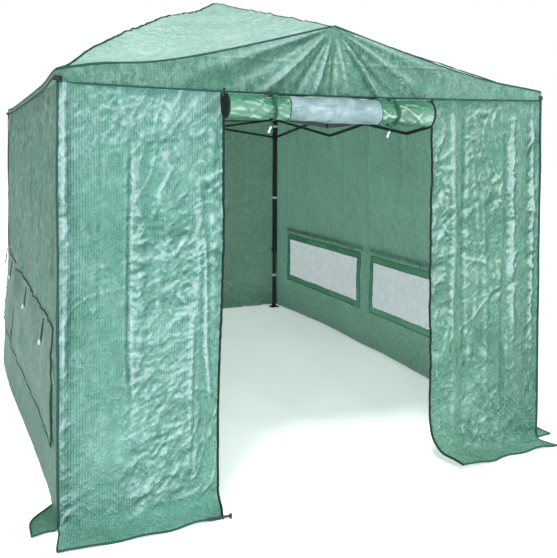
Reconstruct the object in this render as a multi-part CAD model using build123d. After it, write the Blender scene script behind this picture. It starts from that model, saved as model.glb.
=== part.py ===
from build123d import *
import os
from math import atan2, cos, degrees, hypot, radians, sin

# Walk-in pop-up greenhouse, mm. Origin on the ground under the middle, X along the front, Y to the
# back, Z up. A folding scissor frame on four telescoping legs carries a hipped film cover.

# driving dimensions
MODULE = 1120.0        # one scissor module between its end pivots
PIVOT = 30.0           # leg axis to its scissor pivot
TOP_Z = 1765.0         # upper pivots
SLIDE_Z = 1605.0       # lower pivots, on the sliders
BAR_H = 20.0           # scissor bar height
BAR_T = 10.0           # scissor bar thickness
BAR_GAP = 2.0          # mid plane of a truss to either bar
PIN_R = 3.0            # rivet
HOLE_R = 3.05          # rivet hole
TUBE = 30.0            # outer leg tube
INNER = 25.0           # lower leg tube
COVER = 45.0           # leg axis to the cover's outer face
FILM = 3.0             # cover stand-in thickness
SEAM = 1.0             # gap between roof panels at a seam
WALL_TOP = 1757.0      # top edge of the walls, hidden behind the roof's valance
ROOF_Z = 1760.0        # lower edge of the roof's valance
EAVE_Z = 1787.0        # eave line
GABLE_Z = 2052.0       # gable peaks
PEAK_Z = 2460.0        # middle peak
POST_Z = 1990.0        # outer pivot of a ridge arm, on its gable post
DELTA = 13.7           # mean slope of a ridge arm's two bars
SKIRT = 160.0          # width of the ground skirts
DOOR = (-520.0, 530.0)  # door opening, left and right edges
WINDOW_Z = (340.0, 670.0)
WINDOW_Y = ((-1295.0, -35.0), (205.0, 1465.0))

LEG_X = MODULE + PIVOT
LEG_Y = 1.5 * MODULE + PIVOT
OUT_X = LEG_X + COVER
OUT_Y = LEG_Y + COVER
THETA = degrees(atan2(TOP_Z - SLIDE_Z, MODULE))
HALF_BAR = 0.5 * hypot(MODULE, TOP_Z - SLIDE_Z)
ARM = 1.5 * HALF_BAR / cos(radians(DELTA))
CORNERS = {"fl": (-1, -1), "fr": (1, -1), "bl": (-1, 1), "br": (1, 1)}


def block(x0, x1, y0, y1, z0, z1):
    """Box between two corners."""
    return Pos((x0 + x1) / 2, (y0 + y1) / 2, (z0 + z1) / 2) * Box(abs(x1 - x0), abs(y1 - y0), abs(z1 - z0))


def side_plane(x):
    """Truss plane across X: local x is Y, local y is Z, local z is X."""
    return Plane(origin=(x, 0, 0), x_dir=(0, 1, 0), z_dir=(1, 0, 0))


def end_plane(y):
    """Truss plane across Y: local x is X, local y is Z, local z is -Y."""
    return Plane(origin=(0, y, 0), x_dir=(1, 0, 0), z_dir=(0, -1, 0))


def pin(u, w, t0, t1, r=PIN_R):
    """Round pin across a truss plane."""
    return Pos(u, w, (t0 + t1) / 2) * Cylinder(r, abs(t1 - t0))


def flat_bar(p0, p1, t0, t1, holes):
    """Round-ended flat bar between two pivots, with rivet holes."""
    run, rise = p1[0] - p0[0], p1[1] - p0[1]
    body = Box(hypot(run, rise), BAR_H, t1 - t0)
    body = Pos((p0[0] + p1[0]) / 2, (p0[1] + p1[1]) / 2, (t0 + t1) / 2) * Rot(0, 0, degrees(atan2(rise, run))) * body
    for p in (p0, p1):
        body += pin(p[0], p[1], t0, t1, BAR_H / 2)
    for p in holes:
        body -= pin(p[0], p[1], t0 - 1, t1 + 1, HOLE_R)
    return body


def rivet(p):
    """Rivet of a B bar through its A bar, with a head beyond it."""
    face = -BAR_GAP - BAR_T
    return pin(p[0], p[1], BAR_GAP + 1, face - 2.4) + pin(p[0], p[1], face - 0.4, face - 2.4, 6.0)


def truss(plane, start, step, count, name, centre_post):
    """Scissor bars of one truss. A bars fall away from the start leg, B bars rise."""
    out = {}
    for i in range(count):
        u0, u1 = start + i * step, start + (i + 1) * step
        mid = ((u0 + u1) / 2, (TOP_Z + SLIDE_Z) / 2)
        a0, a1, b0, b1 = (u0, TOP_Z), (u1, SLIDE_Z), (u0, SLIDE_Z), (u1, TOP_Z)
        a_bar = flat_bar(a0, a1, -BAR_GAP - BAR_T, -BAR_GAP, [a0, mid, a1])
        b_holes = ([b0] if i == 0 else []) + ([b1] if i == count - 1 else [])
        b_bar = flat_bar(b0, b1, BAR_GAP, BAR_GAP + BAR_T, b_holes)
        b_bar += rivet(mid)
        if i > 0:
            b_bar += rivet(b0)
        if i < count - 1 and not centre_post:
            b_bar += rivet(b1)
        if i < count - 1 and centre_post:
            b_bar += pin(b1[0], b1[1], -20, 20)
        out[f"{name}_bar_a{i + 1}"] = plane * a_bar
        out[f"{name}_bar_b{i + 1}"] = plane * b_bar
    return out


def ears(plane, u_leg, u_pivot, w, a_side):
    """Two ears and their pin that hold the end of an A bar or of a B bar at a leg."""
    lo, hi = (-BAR_GAP - BAR_T, -BAR_GAP) if a_side else (BAR_GAP, BAR_GAP + BAR_T)
    inward = 1 if u_pivot > u_leg else -1
    near, far = u_leg + inward * 17, u_pivot + inward * 8
    body = pin(u_pivot, w, lo - 5.5, hi + 5.5)
    for t0, t1 in ((lo - 5.5, lo - 0.5), (hi + 0.5, hi + 5.5)):
        body += block(near, far, w - 9, w + 9, t0, t1)
    return plane * body


def leg_ears(cx, cy, w, upper):
    """The ears for the side truss and for the end truss at one corner, at the upper or the lower pivots."""
    x, y = cx * LEG_X, cy * LEG_Y
    side = ears(side_plane(x), y, y - cy * PIVOT, w, (cy > 0) == upper)
    end = ears(end_plane(y), x, x - cx * PIVOT, w, (cx < 0) == upper)
    return side + end


def bracket(cx, cy):
    """Corner bracket on top of a leg, with a nub that props the cover's corner."""
    x, y = cx * LEG_X, cy * LEG_Y
    body = block(x - 19, x + 19, y - 19, y + 19, 1740, 1784)
    nub = Pos(x + cx * 32, y + cy * 32, 1770) * Rot(0, 0, 45) * Box(56, 28, 18) if cx * cy > 0 else \
        Pos(x + cx * 32, y + cy * 32, 1770) * Rot(0, 0, -45) * Box(56, 28, 18)
    return body + nub + leg_ears(cx, cy, TOP_Z, True)


def slider(cx, cy):
    """Sliding sleeve on an outer leg, with ears for the lower bar ends."""
    x, y = cx * LEG_X, cy * LEG_Y
    body = block(x - 19, x + 19, y - 19, y + 19, 1585, 1637) + leg_ears(cx, cy, SLIDE_Z, False)
    return body - block(x - 15.5, x + 15.5, y - 15.5, y + 15.5, 1500, 1700)


def outer_leg(cx, cy):
    """Outer leg tube with a moulded collar and a button boss at its lower end."""
    x, y = cx * LEG_X, cy * LEG_Y
    body = block(x - 15, x + 15, y - 15, y + 15, 520, 1740)
    body += block(x - 19, x + 19, y - 19, y + 19, 520, 566)
    body += block(x - 9, x + 9, y - cy * 18, y - cy * 27, 530, 556)
    body -= block(x - 13, x + 13, y - 13, y + 13, 500, 1738)
    return body - Pos(x, y - cy * 22.5, 543) * Rot(90, 0, 0) * Cylinder(5.05, 13)


def button(cx, cy):
    """Push button in the collar's boss."""
    x, y = cx * LEG_X, cy * LEG_Y
    return Pos(x, y - cy * 26, 543) * Rot(90, 0, 0) * Cylinder(5.0, 13)


def lower_leg(cx, cy):
    """Inner tube that telescopes in the outer leg."""
    x, y = cx * LEG_X, cy * LEG_Y
    tube = block(x - 12.5, x + 12.5, y - 12.5, y + 12.5, 5, 1000)
    return tube - block(x - 11, x + 11, y - 11, y + 11, 0, 1010)


def foot(cx, cy):
    """Foot plate with a socket and a stake hole."""
    x, y = cx * LEG_X, cy * LEG_Y
    body = block(x - 40, x + 40, y - 40, y + 40, 0, 5) + block(x - 17, x + 17, y - 17, y + 17, 5, 38)
    body -= block(x - 12.5, x + 12.5, y - 12.5, y + 12.5, 5, 50)
    return body - Pos(x - cx * 29, y - cy * 29, 2) * Cylinder(5.0, 20)


def gable_post(cy):
    """Short post over an end truss's middle joint, forked at both ends."""
    y = cy * LEG_Y
    pl = end_plane(y)
    body = block(-10, 10, y - 18, y + 18, 1781, 1790) + block(-9, 9, y - 9, y + 9, 1790, 1920)
    for t0, t1 in ((-18, -12.5), (12.5, 18)):
        body += pl * (block(-9, 9, 1757, 1785, t0, t1) - pin(0, TOP_Z, t0 - 1, t1 + 1, HOLE_R))
    side = -cy
    for x0, x1 in ((-3.5, 1.5), (12.5, 17.5)):
        body += block(side * x0, side * x1, y - 9, y + 9, 1915, POST_Z + 9)
    body += block(side * -3.5, side * 17.5, y - 9, y + 9, 1905, 1922)
    return body + side_plane(0) * pin(y, POST_Z, side * -3.5, side * 17.5)


def arm_points(cy):
    """Post pivot, knee and hub pivot of one ridge arm, as Y and Z."""
    y0, low, high = cy * LEG_Y, radians(DELTA - THETA), radians(DELTA + THETA)
    knee = (y0 - cy * ARM * cos(low), POST_Z + ARM * sin(low))
    top = (knee[0] - cy * ARM * cos(high), knee[1] + ARM * sin(high))
    return (y0, POST_Z), knee, top


def ridge_arm(cy):
    """Outer and inner bar of one ridge arm. They lie side by side, so they can fold past each other."""
    post, knee, top = arm_points(cy)
    side, pl = -cy, side_plane(0)
    spans = [sorted((side * a, side * b)) for a, b in ((2, 12), (13, 23))]
    outer = flat_bar(post, knee, spans[0][0], spans[0][1], [post, knee])
    inner = flat_bar(knee, top, spans[1][0], spans[1][1], [top])
    inner += pin(knee[0], knee[1], side * 14, side * 0) + pin(knee[0], knee[1], side * 1.6, side * 0, 6.0)
    return pl * outer, pl * inner


def hub():
    """Peak hub: a domed disc with one ear for each ridge arm."""
    top = arm_points(-1)[2][1]
    body = Pos(0, 0, top + 17) * Cylinder(45, 12) + Pos(0, 0, top + 25) * Cylinder(25, 6)
    for cy in (-1, 1):
        side, y = -cy, cy * PIVOT
        body += block(side * 7.5, side * 12.5, y - 9, y + 9, top - 9, top + 15)
        body += side_plane(0) * pin(y, top, side * 7.5, side * 26)
        body += side_plane(0) * pin(y, top, side * 23.5, side * 26, 6.0)
    return body


def prism(points, z_low):
    """Faceted roof volume: valance box, then planes up to the gable peaks and the middle peak."""
    x, y, eave, gable, peak = points
    a, b, c, d = (-x, -y), (x, -y), (x, y), (-x, y)
    low = [(px, py, z_low) for px, py in (a, b, c, d)]
    mid = [(px, py, eave) for px, py in (a, b, c, d)]
    f, g, p = (0, -y, gable), (0, y, gable), (0, 0, peak)
    rings = [[low[3], low[2], low[1], low[0]]]
    rings += [[low[i], low[(i + 1) % 4], mid[(i + 1) % 4], mid[i]] for i in (1, 3)]
    rings += [[low[0], low[1], mid[1], f, mid[0]], [low[2], low[3], mid[3], g, mid[2]]]
    rings += [[mid[0], f, p], [f, mid[1], p], [mid[1], mid[2], p], [mid[2], g, p], [g, mid[3], p], [mid[3], mid[0], p]]
    faces = [Face(Wire.make_polygon([Vector(*v) for v in ring], close=True)) for ring in rings]
    return Solid(Shell(faces))


def seam_cuts():
    """Thin cuts along the ridge, the hips and the gables, so that each roof panel is a flat solid."""
    cuts = [Box(SEAM, 3 * OUT_Y, 5000)]
    for s in (-1, 1):
        cuts.append(Rot(0, 0, s * degrees(atan2(OUT_Y, OUT_X))) * Box(6 * OUT_Y, SEAM, 5000))
        cuts.append(Pos(0, s * (OUT_Y - FILM - SEAM / 2), 0) * Box(3 * OUT_X, SEAM, 5000))
    return cuts


def roof():
    """Hipped film roof with its gables and valance, open below, notched at the corner nubs."""
    shell = prism((OUT_X, OUT_Y, EAVE_Z, GABLE_Z, PEAK_Z), ROOF_Z)
    shell -= prism((OUT_X - FILM, OUT_Y - FILM, EAVE_Z - 1, GABLE_Z - 4, PEAK_Z - 4), ROOF_Z - 20)
    for cut in seam_cuts():
        shell -= cut
    for cx, cy in CORNERS.values():
        x, y = cx * (OUT_X - 10), cy * (OUT_Y - 10)
        shell -= Pos(x, y, 1770) * Rot(0, 0, 45 * cx * cy) * Box(90, 32, 22)
    return Compound(children=[s for s in shell.solids() if s.volume > 5000])


def wall(x0, x1, y0, y1, out_x, out_y, gap):
    """Flat wall with a ground skirt along its foot."""
    body = block(x0, x1, y0, y1, 0, WALL_TOP)
    if out_x:
        edge = out_x * OUT_X
        return body + block(edge - out_x, edge + out_x * SKIRT, y0 + gap, y1 - gap, 0, FILM)
    edge = out_y * OUT_Y
    return body + block(x0 + gap, x1 - gap, edge - out_y, edge + out_y * SKIRT, 0, FILM)


def front_panel(side):
    """Front wall beside the door opening."""
    inner = DOOR[0] if side < 0 else DOOR[1]
    x0, x1 = sorted((side * OUT_X, inner))
    return wall(x0, x1, -OUT_Y, -OUT_Y + FILM, 0, -1, 20)


def side_wall(side):
    """Long wall with two window openings."""
    x0, x1 = sorted((side * OUT_X, side * (OUT_X - FILM)))
    body = wall(x0, x1, -OUT_Y + FILM + 1, OUT_Y - FILM - 1, side, 0, 25)
    for y0, y1 in WINDOW_Y:
        body -= block(x0 - 1, x1 + 1, y0, y1, *WINDOW_Z)
    return body


def windows(side):
    """Two clear film panes of one long wall."""
    x0, x1 = sorted((side * OUT_X, side * (OUT_X - FILM)))
    panes = [block(x0, x1, y0 + 0.5, y1 - 0.5, WINDOW_Z[0] + 0.5, WINDOW_Z[1] - 0.5) for y0, y1 in WINDOW_Y]
    return Compound(children=panes)


def rolled_door():
    """Door rolled up in front of the opening, below the valance."""
    x0, x1 = DOOR[0] - 10, DOOR[1] + 20
    return Pos((x0 + x1) / 2, -OUT_Y - 81, 1680) * Rot(0, 90, 0) * Cylinder(78, x1 - x0)


def all_parts():
    """Every named solid."""
    out = {}
    for k, (cx, cy) in CORNERS.items():
        out[f"outer_leg_{k}"] = outer_leg(cx, cy)
        out[f"lower_leg_{k}"] = lower_leg(cx, cy)
        out[f"foot_{k}"] = foot(cx, cy)
        out[f"corner_bracket_{k}"] = bracket(cx, cy)
        out[f"slider_{k}"] = slider(cx, cy)
        out[f"leg_button_{k}"] = button(cx, cy)
    long_start, short_start = 1.5 * MODULE, -MODULE
    out |= truss(side_plane(-LEG_X), long_start, -MODULE, 3, "left", False)
    out |= truss(side_plane(LEG_X), long_start, -MODULE, 3, "right", False)
    out |= truss(end_plane(-LEG_Y), short_start, MODULE, 2, "front", True)
    out |= truss(end_plane(LEG_Y), short_start, MODULE, 2, "back", True)
    for k, cy in (("front", -1), ("back", 1)):
        out[f"gable_post_{k}"] = gable_post(cy)
        out[f"ridge_outer_{k}"], out[f"ridge_inner_{k}"] = ridge_arm(cy)
    out["peak_hub"] = hub()
    out["roof_canopy"] = roof()
    out["front_panel_left"] = front_panel(-1)
    out["front_panel_right"] = front_panel(1)
    out["back_wall"] = wall(-OUT_X, OUT_X, OUT_Y - FILM, OUT_Y, 0, 1, 20)
    out["left_wall"] = side_wall(-1)
    out["right_wall"] = side_wall(1)
    out["left_windows"] = windows(-1)
    out["right_windows"] = windows(1)
    out["rolled_door"] = rolled_door()
    return out


os.makedirs("parts", exist_ok=True)
for node, shape in all_parts().items():
    export_step(shape, f"parts/{node}.step")
    box = shape.bounding_box()
    print(node, round(shape.volume), [round(v, 1) for v in (*box.min, *box.max)], shape.is_valid)
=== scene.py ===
import math

import bpy
import numpy as np
from mathutils import Matrix, Vector


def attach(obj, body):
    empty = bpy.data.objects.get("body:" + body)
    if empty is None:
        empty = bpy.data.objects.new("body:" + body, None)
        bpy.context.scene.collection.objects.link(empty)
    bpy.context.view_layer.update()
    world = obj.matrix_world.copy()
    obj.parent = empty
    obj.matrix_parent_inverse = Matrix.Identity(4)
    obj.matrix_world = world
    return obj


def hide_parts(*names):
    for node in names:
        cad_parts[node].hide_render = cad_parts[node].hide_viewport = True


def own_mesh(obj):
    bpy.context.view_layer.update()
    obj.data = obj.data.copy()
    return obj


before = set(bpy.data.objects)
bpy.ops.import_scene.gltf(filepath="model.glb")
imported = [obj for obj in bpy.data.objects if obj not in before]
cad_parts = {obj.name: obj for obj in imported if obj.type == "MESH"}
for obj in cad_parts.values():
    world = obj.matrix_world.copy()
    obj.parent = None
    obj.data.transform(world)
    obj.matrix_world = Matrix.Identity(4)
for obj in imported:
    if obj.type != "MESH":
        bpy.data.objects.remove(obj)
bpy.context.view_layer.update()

# ---- main sizes, metres, as in the CAD
OUT_X, OUT_Y = 1.195, 1.755  # half the cover's plan
LEG_X, LEG_Y = 1.15, 1.71  # middle lines of the legs
WALL_TOP, EAVE, GABLE, PEAK = 1.76, 1.787, 2.052, 2.46
HIGH = WALL_TOP - 0.002  # length of a wall's upright part
DOOR_L, DOOR_R = -0.52, 0.53
LEFT_LEN, RIGHT_LEN = OUT_X + DOOR_L, OUT_X - DOOR_R  # widths of the front panels
SKIRT = 0.158
WIN_Z = (0.34, 0.67)
WIN_Y = ((-1.295, -0.035), (0.205, 1.465))
WIN_S = tuple((y0 + OUT_Y, y1 + OUT_Y) for y0, y1 in WIN_Y)
WIN_T = (WALL_TOP - WIN_Z[1], WALL_TOP - WIN_Z[0])
BORDER_W = 0.045
CROWN, MODULE_Y = 0.22, 0.56  # where the roof is divided
VALANCE = 0.027
KEEP_X, KEEP_Y = 0.16, 0.142  # what is left of the cover's width and length when the frame is folded
STEP = 0.011
FRONT_STEP = 0.0065
N_ROOF = 118
CORNERS = (("fl", -1, -1), ("fr", 1, -1), ("bl", -1, 1), ("br", 1, 1))


# ---- smooth noise, the same every run
def lattice(ix, iy, seed):
    with np.errstate(over="ignore"):
        h = ix.astype(np.uint32) * np.uint32(374761393) + iy.astype(np.uint32) * np.uint32(668265263)
        h = (h + np.uint32(seed * 7919 + 13)) * np.uint32(1274126177)
        h = (h ^ (h >> np.uint32(13))) * np.uint32(2246822519)
        h = h ^ (h >> np.uint32(16))
    return (h & np.uint32(0xFFFFFF)).astype(float) / 0xFFFFFF * 2 - 1


def lattice_cell(x, y, seed):
    """Place inside the lattice's cell, and the values at its four corners."""
    x, y = np.asarray(x, float) + 1000.0, np.asarray(y, float) + 1000.0
    x0, y0 = np.floor(x), np.floor(y)
    ix, iy = x0.astype(np.int64), y0.astype(np.int64)
    corners = [lattice(ix + i, iy + j, seed) for j in (0, 1) for i in (0, 1)]
    return x - x0, y - y0, *corners


def noise2(x, y, seed):
    fx, fy, a, b, c, d = lattice_cell(x, y, seed)
    u, v = fx * fx * fx * (fx * (fx * 6 - 15) + 10), fy * fy * fy * (fy * (fy * 6 - 15) + 10)
    return (a * (1 - u) + b * u) * (1 - v) + (c * (1 - u) + d * u) * v


def wander(x, seed):
    """Noise along one axis."""
    return noise2(x, 0 * x, seed)


def fbm(x, y, seed, octaves=3):
    total, amp = 0.0, 1.0
    for k in range(octaves):
        total = total + amp * noise2(x * 2**k + 17.3 * k, y * 2**k - 9.1 * k, seed + k)
        amp *= 0.5
    return total


def ridged(x, y, seed, octaves=3):
    """Sharp creases, as in crumpled film: 0 between creases, up to 1 on them."""
    total, amp, norm = 0.0, 1.0, 0.0
    for k in range(octaves):
        n = 1 - np.abs(noise2(x * 2**k + 5.7 * k, y * 2**k + 3.3 * k, seed + 31 * k)) * 2.2
        total = total + amp * np.clip(n, 0, 1) ** 2
        norm += amp
        amp *= 0.55
    return total / norm


def facet(x, y, seed):
    """Flat facets that meet in straight edges, as in stiff creased film."""
    fx, fy, a, b, c, d = lattice_cell(x, y, seed)
    return np.where(fx + fy > 1, d + (c - d) * (1 - fx) + (b - d) * (1 - fy), a + (b - a) * fx + (c - a) * fy)


def facets(s, t, seed, size=0.05):
    """Facets of two sizes, warped so that no grid shows."""
    wx, wy = (fbm(s / size * 0.35, t / size * 0.35, seed + k, 2) for k in (300, 400))
    a = facet(s / size + 1.1 * wx, t / (1.4 * size) + 1.1 * wy, seed)
    b = facet((s + 0.6 * t) / (0.55 * size) + wy, (t - 0.6 * s) / (0.7 * size) - wx, seed + 3)
    return a + 0.45 * b


def crumple(s, t, seed, size=0.1, stretch=1.6):
    """Creased film relief, about -0.5 to 1, longer down the sheet than across it."""
    wx, wy = (fbm(s / size * 0.6, t / size * 0.5, seed + k, 2) * 0.8 for k in (100, 200))
    a = ridged(s / size + wx, t / (size * stretch) + wy, seed, 3)
    b = ridged((s + t * 0.7) / (size * 1.3) + wy, (t - s * 0.7) / (size * 1.3) + wx, seed + 7, 2)
    return 0.6 * a + 0.5 * b - 0.35


def smooth(a, b, x):
    t = np.clip((x - a) / (b - a), 0, 1)
    return t * t * (3 - 2 * t)


def band(x, a, b, soft=0.012):
    """1 between a and b, 0 outside, with soft ends."""
    return smooth(a - soft, a + soft, x) * (1 - smooth(b - soft, b + soft, x))


def bump_at(x, centre, width):
    return np.exp(-(((x - centre) / width) ** 2))


def arch(x):
    """A half sine, 0 at x = 0 and 1, and 1 halfway."""
    return np.sin(np.pi * np.clip(x, 0, 1))


# ---- mesh helpers
def crease_whitening_and_painted_light(relief, lit=(1.0, 0.4), gain=1.0, shift=0.0):
    """Stress whitening and painted light of creased film: towards 1 on ridges (whitening with painted highlight) and on
    facets that face the light (painted highlight), towards -1 in grooves (painted shade).
    """
    c = -sum(np.gradient(np.gradient(relief, axis=k), axis=k) for k in (0, 1))
    # Painted light: a fixed hillshade, lighter on facets that face the direction lit.
    painted_hillshade = sum(lit[k] * np.gradient(relief, axis=k) for k in (0, 1))
    painted_hillshade = painted_hillshade - painted_hillshade.mean()
    crease = 0.55 * c / (2.1 * c.std() + 1e-12) + 0.62 * painted_hillshade / (1.7 * painted_hillshade.std() + 1e-12)
    return np.clip(gain * crease + shift, -1, 1)


def link(name, data):
    """New object in the scene that holds the data."""
    ob = bpy.data.objects.new(name, data)
    bpy.context.scene.collection.objects.link(ob)
    return ob


def add_object(name, verts, faces, mat, uv=None, normals=None, crease=None, shaded=True):
    me = bpy.data.meshes.new(name)
    me.from_pydata([tuple(v) for v in verts], [], [tuple(f) for f in faces])
    me.polygons.foreach_set("use_smooth", [shaded] * len(me.polygons))
    if uv is not None:
        layer = me.uv_layers.new(name="metres")
        idx = np.zeros(len(me.loops), np.int32)
        me.loops.foreach_get("vertex_index", idx)
        layer.data.foreach_set("uv", np.asarray(uv, float)[idx].ravel())
    # The crease attribute holds stress whitening with painted highlights and painted groove shade.
    if crease is not None:
        me.attributes.new("crease", "FLOAT", "POINT").data.foreach_set("value", np.asarray(crease, np.float32))
    me.materials.append(mat)
    me.update()
    if normals is not None:
        me.normals_split_custom_set_from_vertices([tuple(n) for n in normals])
    return link(name, me)


def used_only(verts, faces, *others):
    """Drops the vertices that no face uses, and their rows in the other arrays."""
    keep, inverse = np.unique(faces.ravel(), return_inverse=True)
    return [verts[keep], inverse.reshape(faces.shape)] + [None if o is None else o[keep] for o in others]


def grid_object(name, points, mat, uv, mask=None, flip=False, crease=None):
    """Sheet over a grid of points. The mask says which cells have a face."""
    rows, cols = points.shape[:2]
    j, i = np.meshgrid(np.arange(rows - 1), np.arange(cols - 1), indexing="ij")
    if mask is not None:
        j, i = j[mask], i[mask]
    a = (j * cols + i).ravel()
    faces = np.stack([a, a + 1, a + cols + 1, a + cols], 1)
    if flip:
        faces = faces[:, ::-1]
    crease = None if crease is None else crease.ravel()
    verts, faces, uvs, folds = used_only(points.reshape(-1, 3), faces, uv.reshape(-1, 2), crease)
    return add_object(name, verts, faces, mat, uvs, None, folds)


def skin(rings, sides):
    """Faces round a stack of rings, with a cap on both ends."""
    faces = []
    for k in range(rings - 1):
        for s in range(sides):
            a, b = k * sides + s, k * sides + (s + 1) % sides
            faces.append((a, b, b + sides, a + sides))
    last = (rings - 1) * sides
    return faces + [tuple(range(sides))[::-1], tuple(range(last, last + sides))]


def tube_mesh(points, radius, sides):
    p = np.asarray(points, float)
    p = p[np.concatenate([[True], np.linalg.norm(np.diff(p, axis=0), axis=1) > 1e-6])]
    t = np.gradient(p, axis=0)
    t /= np.linalg.norm(t, axis=1)[:, None]
    n = np.cross(t[0], np.array([0, 0, 1.0]) if abs(t[0, 2]) < 0.9 else np.array([1.0, 0, 0]))
    ang = np.arange(sides) * 2 * np.pi / sides
    rings = []
    for k in range(len(p)):
        n = n - t[k] * (n @ t[k])
        n /= np.linalg.norm(n)
        rings.append(p[k] + radius * (np.outer(np.cos(ang), n) + np.outer(np.sin(ang), np.cross(t[k], n))))
    return np.concatenate(rings), skin(len(p), sides)


def tubes(name, lines, radius, mat, sides=7):
    """Several tubes as one piece, such as the binding round a panel."""
    verts, faces, n = [], [], 0
    for line in lines:
        v, f = tube_mesh(line, radius, sides)
        verts.append(v)
        faces += [tuple(i + n for i in q) for q in f]
        n += len(v)
    return add_object(name, np.concatenate(verts), faces, mat)


def ribbon(name, line, across, width, mat, thick=0.0016):
    """Flat webbing along a line of points, with its width along the vector across."""
    p = np.asarray(line, float)
    w = np.broadcast_to(np.asarray(across, float), p.shape) * (width / 2)
    n = np.cross(np.gradient(p, axis=0), w)
    n = n / np.maximum(np.linalg.norm(n, axis=1)[:, None], 1e-9) * (thick / 2)
    ring = np.stack([p - w - n, p + w - n, p + w + n, p - w + n], 1)
    return add_object(name, ring.reshape(-1, 3), skin(len(p), 4), mat, shaded=False)


def lathe(name, profile, mat, sides):
    """Turned shape about Z from (radius, height) pairs."""
    ang = np.arange(sides) * 2 * math.pi / sides
    rings = [np.stack([r * np.cos(ang), r * np.sin(ang), np.full(sides, h)], 1) for r, h in profile]
    return add_object(name, np.concatenate(rings), skin(len(profile), sides), mat)


def put(ob, at, axis):
    """Turns a lathe's shape from Z to the axis and moves it to its place."""
    turn = Vector(axis).to_track_quat("Z", "Y").to_matrix().to_4x4()
    ob.data.transform(Matrix.Translation([float(v) for v in at]) @ turn)


def lines_at(breaks, step):
    """Grid coordinates that include every break."""
    out = [np.array([breaks[0]])]
    for a, b in zip(breaks, breaks[1:]):
        n = max(1, round(abs(b - a) / step))
        out.append(np.linspace(a, b, n + 1)[1:])
    return np.concatenate(out)


def place(ob, body, squash=None):
    """Rides on a body and, where a squash is given, gets a mesh of its own."""
    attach(ob, body)
    if squash:
        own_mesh(ob)
    return ob


# ---- materials
class Shader:
    """Node tree of a material or world, with a short call for each kind of node. Inputs are values or sockets."""

    def __init__(self, name, new=bpy.data.materials.new):
        owner = new(name)
        owner.use_nodes = True
        self.owner, self.tree = owner, owner.node_tree
        self.tree.nodes.clear()

    def node(self, kind, inputs=None, output=0, **attrs):
        n = self.tree.nodes.new("ShaderNode" + kind)
        for key, value in attrs.items():
            setattr(n, key, value)
        for key, value in (inputs or {}).items():
            socket = n.inputs[key]
            if isinstance(value, bpy.types.NodeSocket):
                self.tree.links.new(value, socket)
            else:
                socket.default_value = (*value, 1) if socket.type == "RGBA" else value
        return n.outputs[output]

    def axes(self, vector):
        return self.node("SeparateXYZ", {"Vector": vector}).node.outputs[:3]

    def math(self, op, a, b=0.5, clamp=False):
        return self.node("Math", {0: a, 1: b, 2: 0.5}, operation=op, use_clamp=clamp)

    def times(self, a, b, clamp=False):
        return self.math("MULTIPLY", a, b, clamp)

    def noise(self, at, scale, detail, rough=0.5, distort=0.0):
        inputs = {"Vector": at, "Scale": scale, "Detail": detail, "Roughness": rough, "Distortion": distort}
        return self.node("TexNoise", inputs)

    def ramp(self, fac, *stops):
        """Colour ramp. A stop's colour may be one number, for a grey."""
        n = self.tree.nodes.new("ShaderNodeValToRGB")
        self.tree.links.new(fac, n.inputs[0])
        while len(n.color_ramp.elements) < len(stops):
            n.color_ramp.elements.new(0.5)
        for e, (pos, col) in zip(n.color_ramp.elements, stops):
            e.position, e.color = pos, (*(col if isinstance(col, tuple) else (col,) * 3), 1)
        return n.outputs[0]

    def mix(self, fac, a, b):
        return self.node("Mix", {0: fac, 6: a, 7: b}, 2, data_type="RGBA")

    def bump(self, height, strength, distance):
        return self.node("Bump", {"Height": height, "Strength": strength, "Distance": distance})

    def surface(self, colour, rough, normal, gloss, **more):
        inputs = {"Base Color": colour, "Roughness": rough, "Normal": normal, "Specular IOR Level": gloss}
        return self.node("BsdfPrincipled", {**inputs, **more})

    def layers(self, fac, a, b):
        return self.node("MixShader", {0: fac, 1: a, 2: b})

    def done(self, last, kind="Material"):
        self.tree.links.new(last, self.tree.nodes.new("ShaderNodeOutput" + kind).inputs[0])
        return self.owner


def scaled(colour, k):
    return tuple(c * k for c in colour)


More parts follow.
